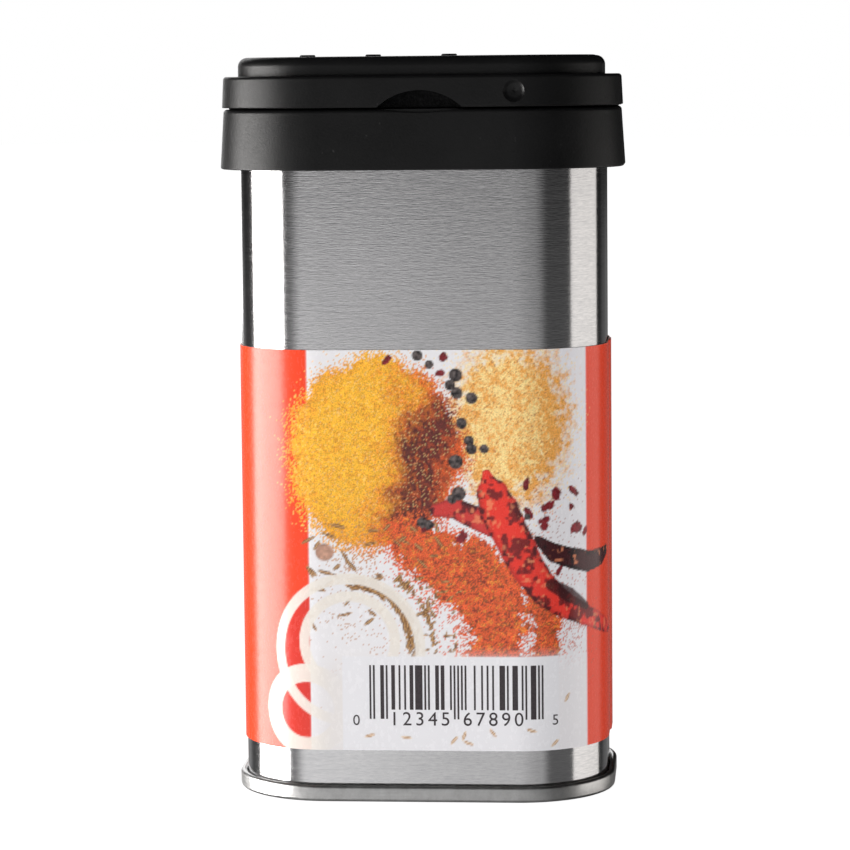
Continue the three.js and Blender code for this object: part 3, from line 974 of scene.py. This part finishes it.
def paint_flake(art, centre, half, angle):
    out, _, _ = art.oval(centre, half, angle)
    out = out + 0.9 * (art.noise(0.8, 70, 2) - 0.5)
    tone = np.clip(art.noise(0.6, 71, 2) * 1.6 - 0.3, 0, 1)[:, None]
    art.paint(1 - smooth_step(0.85, 1.1, out), rgb(128, 28, 38) * (0.45 + 0.9 * tone))


def paint_orange_heap(art, centre, half, extra=0):
    """A heap of ground spice: yellow where it is lit, red-brown in its folds."""
    out, ds, dz = art.oval(centre, half)
    out = out + 0.20 * (art.noise(4.5, 10 + extra) - 0.5) + 0.10 * (art.speck - 0.5)
    cover = np.maximum(1 - smooth_step(0.96, 1.0, out), art.strewn(out, 0.70, 1, 26, 1.25) * 0.85)
    fold = ds * 0.92 - dz * 0.26 + 0.42 * (art.noise(5.0, 12 + extra) - 0.5)
    fine = art.noise(0.5, 14 + extra, 2)
    warm = smooth_step(-0.10, 0.62, fold + 0.12 * dz * dz + 0.35 * (fine - 0.5))
    colour = blended(rgb(255, 190, 50), rgb(222, 92, 36), warm)
    rim = smooth_step(0.72, 1.0, out) * (1 - smooth_step(-0.2, 0.5, ds + dz * 0.3))
    colour = blended(colour, rgb(238, 140, 40), 0.45 * rim)
    grains = art.noise(0.42, 18 + extra, 2)
    burnt = smooth_step(0.50, 0.72, grains) * (0.35 + 0.4 * warm)
    colour = blended(colour, rgb(196, 88, 26), burnt)
    streak = cloud_noise((art.s + art.z * 0.3) / 0.5 + 300, (art.z - art.s * 0.3) / 2.2 + 300,
                         art.seed + 16 + extra, 3)
    ridge = hump(fold, 0.54, 0.34) * smooth_step(-1.0, -0.6, dz)
    ridge = ridge * (1 - smooth_step(0.40, 0.80, dz))
    dark = np.clip(ridge * (0.10 + 2.2 * (0.6 * streak + 0.4 * grains)) - 0.30, 0, 0.95)
    colour = blended(colour, rgb(88, 34, 34), dark)
    dirt = (art.speck > 0.93) * smooth_step(-0.2, 0.4, fold)
    colour = colour * (1 - 0.55 * dirt[:, None])
    colour = blended(colour, rgb(255, 226, 150), (art.speck < 0.10) * 0.35)
    art.paint(cover, colour * (0.80 + 0.40 * fine[:, None]), 0.75)


def paint_golden_heap(art, centre, half, extra=0):
    """A thin heap of pale granules that lets the paper through."""
    out, ds, _ = art.oval(centre, half)
    lumps = art.noise(1.1, 20 + extra)
    fine = art.noise(0.42, 24 + extra, 2)
    cover = smooth_step(0.02, 0.42, 1.10 - out + 0.55 * (lumps - 0.5) + 0.35 * (fine - 0.5))
    edge = hump(out, 0.72, 0.25) * smooth_step(-0.2, 0.6, ds)
    deep = smooth_step(0.36, 0.64, 0.40 * lumps + 0.35 * fine + 0.2 * art.speck + 0.16 * edge)
    colour = blended(rgb(255, 222, 142), rgb(238, 162, 54), deep)
    brown = ((art.speck > 0.90) & (fine > 0.5)) * 0.5
    colour = blended(colour, rgb(150, 92, 40), brown)
    loose = art.strewn(out, 0.5, 0.9, 9, 1.35)
    art.paint(np.maximum(cover * 0.95, loose * 0.6), colour, 0.55)


def paint_red_powder(art):
    """Loose chilli powder in the lower right of the picture."""
    main = art.path([(-1.5, 49), (3, 45.5), (8, 42.5), (13, 38.5), (14.5, 33), (14, 27)],
                    [4.0, 5.5, 6.5, 7.0, 6.0, 6.0])
    side = art.path([(17, 47), (20, 42), (23.5, 33), (22.5, 29)], [2.0, 2.2, 2.6, 3.2])
    out = np.minimum(main, side + 0.12) + 0.75 * (art.noise(2.6, 30) - 0.5)
    out = out + 0.45 * (art.noise(0.6, 33, 2) - 0.5) + 0.25 * (art.speck - 0.5)
    fine = art.noise(0.55, 36, 2)
    dark = smooth_step(0.54, 0.68, 0.55 * art.noise(0.75, 38) + 0.45 * art.speck)
    gold = smooth_step(0.56, 0.70, 0.6 * art.noise(0.6, 42, 2) + 0.4 * art.speck)
    colour = rgb(226, 92, 44) * (0.7 + 0.6 * fine[:, None])
    colour = blended(colour, rgb(252, 168, 62), 0.6 * gold)
    colour = blended(colour, rgb(96, 34, 34), 0.75 * dark)
    loose = art.strewn(out, 0.55, 1, 5.5, 1.9)
    art.paint(np.maximum(1 - smooth_step(0.88, 1.0, out), loose * 0.8), colour, 0.7)


def paint_chillies(art):
    """Dried chillies: a piece under the others, a short one, then one long and bright."""
    wobble = 0.16 * (art.noise(1.6, 50) - 0.5)
    pieces = (
        ([(21.5, 48.8), (24.5, 46.4), (28.0, 45.2), (32.0, 44.2), (36.5, 44.6), (39.0, 45.5)],
         [0.8, 1.7, 1.9, 1.9, 1.6, 0.9], rgb(66, 20, 26), rgb(26, 10, 16), 52),
        ([(3.4, 54.2), (6.5, 54.6), (10.0, 53.0), (13.0, 50.6)],
         [1.2, 1.9, 2.1, 1.2], rgb(206, 56, 52), rgb(74, 16, 28), 54),
        ([(12.4, 60.6), (13.4, 57.2), (14.8, 53.6), (17.2, 48.8), (19.6, 43.8), (22.6, 39.8),
          (26.8, 36.6), (31.6, 34.4), (37.5, 32.0), (41.0, 30.6)],
         [0.9, 2.9, 3.6, 3.4, 3.1, 2.8, 2.4, 1.9, 1.5, 0.7], rgb(236, 52, 38), rgb(86, 14, 22), 56),
    )
    for points, widths, colour, shadow, extra in pieces:
        out = art.path(points, widths) + wobble
        mottle = 0.75 * art.noise(2.2, extra) + 0.25 * art.noise(0.6, extra + 2, 2)
        edge = smooth_step(0.55, 1.0, out)
        dark = np.clip(0.85 * smooth_step(0.49, 0.60, mottle) + 0.45 * edge, 0, 1)
        shine = smooth_step(0.66, 0.78, art.noise(0.9, extra + 1, 2)) * (1 - edge)
        body = blended(blended(colour, shadow, dark), rgb(248, 150, 104), 0.6 * shine)
        art.paint(1 - smooth_step(0.94, 1.04, out), body)
    dark_side = art.path([(24.0, 40.6), (27.5, 38.6), (31.5, 36.2)], [1.1, 1.4, 0.7]) + wobble
    art.paint((1 - smooth_step(0.85, 1.1, dark_side)) * 0.9, rgb(58, 16, 22))


# Each flake: s, z, its two half sizes and how far it is turned, in degrees.
FLAKES = (
    (19.4, 58.8, 0.55, 1.3, -10), (25.0, 56.8, 1.0, 1.3, 20), (28.6, 57.3, 1.3, 0.7, -40),
    (23.5, 54.8, 1.4, 0.7, 30), (28.0, 54.5, 0.7, 0.6, 0), (19.9, 53.6, 0.7, 1.3, 35),
    (22.8, 52.4, 1.3, 0.6, 25), (22.7, 51.3, 0.8, 0.9, 0), (29.3, 50.5, 1.4, 1.0, 15),
    (31.3, 49.7, 0.5, 0.9, -30), (4.9, 81.6, 0.8, 0.9, 0), (4.2, 78.8, 0.9, 0.7, 0),
    (8.0, 49.4, 0.9, 1.2, -30), (-5.2, 81.0, 0.6, 1.1, -35), (1.6, 51.0, 1.1, 0.6, 25),
    (25.6, 43.4, 0.5, 1.3, -30),
)

# Each peppercorn: s, z and radius.
PEPPERCORNS = (
    (0.2, 81.9, 1.0), (2.3, 80.3, 0.8), (7.0, 78.4, 1.25), (6.0, 76.6, 1.0), (7.2, 75.2, 1.1),
    (9.8, 74.3, 1.1), (8.0, 69.8, 1.05), (9.3, 66.7, 0.95), (9.7, 65.2, 1.05), (12.0, 65.2, 0.85),
    (6.9, 62.9, 1.35), (7.4, 57.2, 1.3), (6.2, 56.2, 0.9), (0.8, 52.0, 1.0), (2.0, 51.6, 0.9),
    (19.6, 53.0, 0.6),
)


# Each ring: centre, radius and thickness.
RINGS = (((-12.65, 28.9), 12.9, 1.9), ((-20.4, 17.9), 6.7, 3.3), ((-12.5, 30.4), 8.2, 1.9))

# Each seed strewn under the picture: s, z and how far it is turned, in degrees.
LOW_SEEDS = (
    (-9.0, 13.3, 12), (-2.4, 13.0, -8), (6.2, 12.5, 50), (8.0, 13.3, 70), (8.8, 12.0, -20),
    (13.2, 13.9, -55), (20.2, 14.3, -15), (24.5, 11.9, 40), (27.0, 20.0, 60),
)


def paint_seeds(art):
    """Cumin seeds strewn over the lower left, and thick round the large ring."""
    random = np.random.RandomState(7)
    middle = (-12.6, 29.6)
    for _ in range(46):
        centre = (random.uniform(-20, 4), random.uniform(33, 52))
        paint_seed(art, centre, random.uniform(1.4, 3.0), random.uniform(0.5, 0.8),
                   random.uniform(-80, 60))
    for turn in np.linspace(-8, 86, 75):
        away = 11.6 + random.uniform(-0.9, 0.9)
        centre = polar(middle, away, math.radians(turn + random.uniform(-1.5, 1.5)))
        paint_seed(art, centre, random.uniform(1.6, 2.8), 0.7, turn + 90 + random.uniform(-50, 20))
    for _ in range(30):
        centre = polar(middle, 15.2, math.radians(random.uniform(-5, 60)))
        paint_seed(art, centre, random.uniform(1.2, 2.4), 0.6, random.uniform(40, 130))
    for _ in range(26):
        centre = (random.uniform(0, 8), random.uniform(28, 42))
        paint_seed(art, centre, random.uniform(0.8, 2.2), 0.45, random.uniform(0, 90))


def paint_scatter(art):
    """Fine specks of spice on the white ground between the heaps."""
    near = hump(art.z, 42, 12.0) * smooth_step(-21, -12, art.s) * (1 - smooth_step(16, 30, art.s))
    dense = near * (0.25 + 0.75 * smooth_step(0.45, 0.6, art.noise(3.2, 60)))
    tint = blended(rgb(188, 132, 88), rgb(222, 110, 70), smooth_step(-12, 8, art.s))
    art.paint((art.speck < 0.30 * dense) * 0.7, tint)
    corner = hump(art.s, 27.5, 4.5) * hump(art.z, 33, 8.0)
    art.paint((art.speck < 0.28 * corner) * 0.7, rgb(196, 84, 58))
    fade = hump(art.s, 21, 8.0) * hump(art.z, 50, 12.0)
    art.paint((art.speck > 1 - 0.07 * fade) * 0.6, rgb(150, 70, 60))


def paint_rings(art, white):
    """Plain ivory rings overprinted on the picture, nearly opaque."""
    for centre, radius, _ in RINGS[:2]:
        within = 1 - smooth_step(radius - 0.2, radius, art.distance(centre))
        art.paint(within * (1 - white) * 0.8, rgb(212, 48, 40))
    for centre, radius, thickness in RINGS:
        away = art.distance(centre)
        ring = band(away, radius - thickness / 2, radius + thickness / 2, 0.12)
        art.paint(ring * 0.9, rgb(236, 229, 220))
    inside = smooth_step(-21.0, -14.5, art.s) * (1 - smooth_step(24, 30, art.z))
    art.paint(inside * 0.85 * white, rgb(230, 226, 226))


def paint_picture(art):
    """The front's picture between its two red borders."""
    white = band(art.s, PICTURE_LEFT, PICTURE_RIGHT, 0.12)
    art.paint(1 - white, RED)
    # Painted shade: a faint grey on the white paper where the label turns round the right corner.
    art.paint(white * hump(art.s, 27, 10.0) * 0.35, rgb(226, 223, 229))
    paint_golden_heap(art, (16.8, 69.8), (12.2, 16.6))
    paint_orange_heap(art, (-7.6, 64.3), (15.8, 17.6))
    paint_scatter(art)
    paint_red_powder(art)
    paint_seeds(art)
    for s, z, half_s, half_z, angle in FLAKES:
        paint_flake(art, (s, z), (half_s, half_z), angle)
    paint_chillies(art)
    for s, z, radius in PEPPERCORNS:
        paint_peppercorn(art, (s, z), radius)
    crumb = rgb(196, 150, 128) * (0.4 + 0.9 * art.noise(0.6, 95, 2)[:, None])
    art.paint(1 - smooth_step(0.85, 1.1, art.oval((-16.8, 46.6), (1.7, 1.6))[0]), crumb)
    paint_rings(art, white)
    low = 1 - smooth_step(CODE_TOP - 0.1, CODE_TOP + 0.1, art.z)
    art.paint(low * band(art.s, CODE_LEFT, CODE_RIGHT), rgb(234, 233, 237))
    beside = white * low * smooth_step(CODE_RIGHT - 0.1, CODE_RIGHT + 0.1, art.s)
    art.paint(beside * 0.6, rgb(236, 234, 238))
    for s, z, angle in LOW_SEEDS:
        paint_seed(art, (s, z), 1.9, 0.6, angle, rgb(176, 130, 92), rgb(240, 216, 184))


def paint_back(art):
    """The back: a pale panel with two heaps and some peppercorns, on the red ground."""
    middle = -LABEL_AROUND / 2
    art.paint(np.ones(len(art.s)), RED)
    art.paint(1 - smooth_step(25.6, 25.9, np.abs(art.s - middle)), rgb(240, 238, 240))
    paint_golden_heap(art, (middle + 10.5, 57), (9.5, 12.5), 200)
    paint_orange_heap(art, (middle - 6.5, 61), (14.0, 14.0), 210)
    for i in range(14):
        angle = i * 2.4
        centre = (middle + 5 + 7 * math.cos(angle), 46 + 3.0 * math.sin(angle * 1.7))
        paint_peppercorn(art, centre, 1.0)


def paint_plate(art):
    """A plain dark plate printed on the left side."""
    plate = band(art.s, -52.8, -40.2) * band(art.height, 38.0, 50.5)
    art.paint(plate, rgb(52, 40, 42))


def add_print(sheet, art, face_points):
    """Stores the printed colours on the sheet's points; its glued side stays plain paper."""
    plain = np.arange(len(art.s)) >= face_points
    art.colour[plain] = rgb(232, 228, 220)
    art.grain[plain] = 0
    rgba = np.ones((len(art.s), 4), np.float32)
    rgba[:, :3] = art.colour
    colours = sheet.data.color_attributes.new("print", "FLOAT_COLOR", "POINT")
    colours.data.foreach_set("color", rgba.ravel())
    grain = sheet.data.attributes.new("grain", "FLOAT", "POINT")
    grain.data.foreach_set("value", art.grain.astype(np.float32))


def steps_between(start, end, size):
    return list(np.linspace(start, end, max(2, round((end - start) / size) + 1)))


def paper_label():
    """The label's front and back sheets, printed. The front one carries the lap."""
    cell = 0.25
    split = -RIGHT_MIDDLE
    rows = steps_between(LABEL_LOW, LABEL_HIGH, cell)
    front = (steps_between(split, -31, 0.6)[:-1] + steps_between(-31, 33, cell)[:-1]
             + steps_between(33, 42, 0.4)[:-1]
             + steps_between(42, RIGHT_MIDDLE + LABEL_LAP, 0.5))
    back_rows = steps_between(LABEL_LOW, LABEL_HIGH, 0.45)
    back = steps_between(RIGHT_MIDDLE - LABEL_AROUND, split, 0.45)
    for name, columns, levels, painter, seed, rise in (
            ("paper_label_front", front, rows, paint_picture, 3, PICTURE_RISE),
            ("paper_label_back", back, back_rows, paint_back, 5, 0.0)):
        sheet, plane, face_points = label_sheet(name, columns, levels)
        art = Print(plane, seed, rise)
        painter(art)
        paint_plate(art)
        add_print(sheet, art, face_points)
        soften(sheet, 0)
        finish_piece(sheet, PAPER, "tin", "label", "paper_label")


# ------------------------------------------------------------------ label: its bar code

MODULE = 0.33
BARS_START = -9.0
BARS_TOP = 24.85
BARS_FOOT = 16.75
GUARDS_FOOT = 15.05
DIGITS_FOOT = 13.9
INK_HEIGHT = 0.02
DIGIT_CODES = ("0001101", "0011001", "0010011", "0111101", "0100011",
               "0110001", "0101111", "0111011", "0110111", "0001011")
DIGITS = "012345678905"


def bar_code():
    """A generic retail code, counting up, with its guard bars longer than the rest."""
    left = "".join(DIGIT_CODES[int(digit)] for digit in DIGITS[:6])
    right = "".join(DIGIT_CODES[int(digit)] for digit in DIGITS[6:])
    flipped = right.translate(str.maketrans("01", "10"))
    modules = "101" + left + "01010" + flipped + "101"
    guards = set(range(0, 10)) | set(range(45, 50)) | set(range(85, 95))
    vertices = []
    faces = []
    index = 0
    while index < len(modules):
        run = index
        while run < len(modules) and modules[run] == "1":
            run += 1
        if run > index:
            foot = GUARDS_FOOT if index in guards else BARS_FOOT
            add_bar(vertices, faces, BARS_START + index * MODULE, BARS_START + run * MODULE, foot)
        index = max(run, index + 1)
    bars = add_object("label_bar_code", vertices, faces)
    soften(bars, 0)
    finish_piece(bars, INK, "tin", "label")


def add_bar(vertices, faces, start, end, foot):
    """Adds one bar that follows the label's curve, sunk a little into the paper."""
    steps = max(1, round((end - start) / 0.4))
    base = len(vertices)
    corners = ((foot, 0.0), (BARS_TOP, 0.0), (BARS_TOP, INK_HEIGHT), (foot, INK_HEIGHT))
    for s in np.linspace(start, end, steps + 1):
        vertices += [on_label(s, z, height - INK_HEIGHT / 4) for z, height in corners]
    faces += [tuple(base + i for i in face) for face in ring_faces(steps + 1, 4)]


def code_digits():
    """The digits under the bars, each in the middle of its own seven modules."""
    groups = [BARS_START + (first + 7 * i + 3.5) * MODULE for first in (10, 50) for i in range(5)]
    places = [(-11.4, 2.0), *[(s, 2.6) for s in groups], (24.6, 2.0)]
    vertices = []
    faces = []
    for digit, (s, size) in zip(DIGITS, places):
        text = bpy.data.curves.new("digit", "FONT")
        text.body = digit
        text.align_x = "CENTER"
        text.size = size * 1.36
        text.resolution_u = 4
        text.extrude = INK_HEIGHT
        holder = bpy.data.objects.new("digit", text)
        bpy.context.scene.collection.objects.link(holder)
        mesh = evaluated_mesh(holder)
        base = len(vertices)
        vertices += [on_label(s + v.co.x, DIGITS_FOOT + v.co.y, v.co.z) for v in mesh.vertices]
        faces += [tuple(base + i for i in face.vertices) for face in mesh.polygons]
        bpy.data.objects.remove(holder)
    digits = add_object("label_code_digits", vertices, faces)
    soften(digits, 0)
    finish_piece(digits, INK, "tin", "label")


# ------------------------------------------------------------------ build

can_body()
body_lap()
can_bottom()
closure_base()
front_flap = flap("front_flap_moulding", True)
finish_piece(front_flap, PLASTIC, "sifter_flap", "closure", "front_flap")
rear_flap = flap("rear_flap_moulding", False)
rear_flap.data.transform(Matrix.Rotation(math.pi, 4, "Z"))
finish_piece(rear_flap, PLASTIC, "spoon_flap", "closure", "rear_flap")
for place, side, flap_body in (("front", -1, "sifter_flap"), ("rear", 1, "spoon_flap")):
    hinge_web(f"{place}_hinge_left", -WEB_CENTRE_X, side)
    hinge_web(f"{place}_hinge_right", WEB_CENTRE_X, side)
paper_label()
bar_code()
code_digits()
gasket = frame["nodes"]["seam_gasket"]
gasket.data.materials.clear()
gasket.data.materials.append(COMPOUND)


# ------------------------------------------------------------------ stage, lights, camera

def floor():
    """A table that the camera sees as white. It throws its light up at the tin."""
    ground = turned("floor", [(6000.0, -30.0), (6000.0, 0.0)], 96, along_z(0, 0))
    material, tree, shader = new_material("white_floor")
    tone = shades(tree, solid_noise(tree, 40, 3), 0.3, 0.7, (0.24, 0.24, 0.24), (0.26, 0.26, 0.26))
    tree.links.new(tone, shader.inputs["Base Color"])
    shader.inputs["Roughness"].default_value = 0.9
    shader.inputs["Emission Color"].default_value = (1, 1, 1, 1)
    shader.inputs["Emission Strength"].default_value = 0.92
    ground.visible_glossy = False
    ground.visible_shadow = False
    ground.data.materials.append(material)


def softbox(name, place, target, width, height, radiance, colour, glossy=True):
    """An area light of a given brightness. place and target are in metres."""
    light = bpy.data.lights.new(name, "AREA")
    light.shape = "RECTANGLE"
    light.size = width
    light.size_y = height
    light.energy = radiance * math.pi * width * height
    light.color = colour
    holder = bpy.data.objects.new(name, light)
    holder.location = place
    holder.rotation_euler = (Vector(target) - Vector(place)).to_track_quat("-Z", "Y").to_euler()
    holder.visible_camera = False
    holder.visible_glossy = glossy
    bpy.context.scene.collection.objects.link(holder)


def lights():
    softbox("left_softbox", (-0.50, -0.09, 0.0), (0, -0.09, 0.0), 0.48, 0.34, 9.5, (1, 0.98, 0.96))
    softbox("right_softbox", (0.50, 0.115, -0.01), (0, 0.115, -0.01), 0.49, 0.28, 1.05,
            (1, 0.97, 0.93))
    softbox("front_card", (-0.05, -1.10, 0.46), (-0.05, 0, 0.46), 1.30, 0.90, 0.08, (1, 1, 1))
    softbox("rim_card", (-0.32, 0.95, 0.35), (0, 0, 0.2), 0.50, 0.70, 1.6, (1, 1, 1))
    sky = bpy.data.lights.new("overhead", "SUN")
    sky.energy = 1.5
    sky.angle = math.radians(80)
    holder = bpy.data.objects.new("overhead", sky)
    holder.rotation_euler = (math.radians(12), 0, 0)
    holder.visible_glossy = False
    bpy.context.scene.collection.objects.link(holder)


def ramp(tree, value, stops):
    node = add_node(tree, "ShaderNodeValToRGB")
    node.color_ramp.interpolation = "EASE"
    elements = node.color_ramp.elements
    while len(elements) < len(stops):
        elements.new(0.5)
    for element, (place, level) in zip(elements, stops):
        element.position = place
        element.color = (level, level, level, 1)
    tree.links.new(value, node.inputs["Fac"])
    return node.outputs["Color"]


def world():
    """White where the camera looks straight at it. In reflections it is a dark room over a
    pale table that ends a little to each side."""
    studio = bpy.data.worlds.new("studio")
    studio.use_nodes = True
    tree = studio.node_tree
    background = tree.nodes["Background"]
    direction = add_node(tree, "ShaderNodeSeparateXYZ")
    place = add_node(tree, "ShaderNodeTexCoord")
    tree.links.new(place.outputs["Generated"], direction.inputs["Vector"])
    height = map_range(tree, direction.outputs["Z"], -0.45, 0.05, 0, 1)
    table = ramp(tree, height, ((0.0, 0.25), (0.20, 0.60), (0.44, 1.0), (0.66, 1.0), (0.77, 0.74),
                                (0.86, 0.07), (0.94, 0.02), (1.0, 0.02)))
    across = map_range(tree, direction.outputs["X"], -1, 1, 0, 1)
    span = ramp(tree, across, ((0.12, 0.25), (0.24, 1.0), (0.43, 1.0), (0.48, 0.72),
                               (0.74, 0.50), (0.84, 0.15)))
    along = map_range(tree, direction.outputs["Y"], -0.2, 0.5, 0, 1)
    front = ramp(tree, along, ((0.0, 1.0), (1.0, 0.26)))
    reflected = mix_colour(tree, 1.0, mix_colour(tree, 1.0, table, span, "MULTIPLY"), front,
                           "MULTIPLY")
    path = add_node(tree, "ShaderNodeLightPath")
    seen = mix_colour(tree, path.outputs["Is Camera Ray"], reflected, (1, 1, 1, 1))
    tree.links.new(seen, background.inputs["Color"])
    bpy.context.scene.world = studio


def camera():
    distance = 0.600
    azimuth = math.radians(4.8)
    data = bpy.data.cameras.new("camera")
    data.sensor_width = 36.0
    data.lens = 138.3
    data.clip_end = 20.0
    holder = bpy.data.objects.new("camera", data)
    place = Vector((math.sin(azimuth) * distance, -math.cos(azimuth) * distance, 0.130))
    target = Vector((-0.0004, 0, 0.0658))
    look = (target - place).to_track_quat("-Z", "Y").to_matrix().to_4x4()
    roll = Matrix.Rotation(math.radians(-0.56), 4, "Z")
    holder.matrix_world = Matrix.Translation(place) @ look @ roll
    bpy.context.scene.collection.objects.link(holder)
    bpy.context.scene.camera = holder


floor()
lights()
world()
camera()
bpy.context.scene.view_settings.view_transform = "Standard"
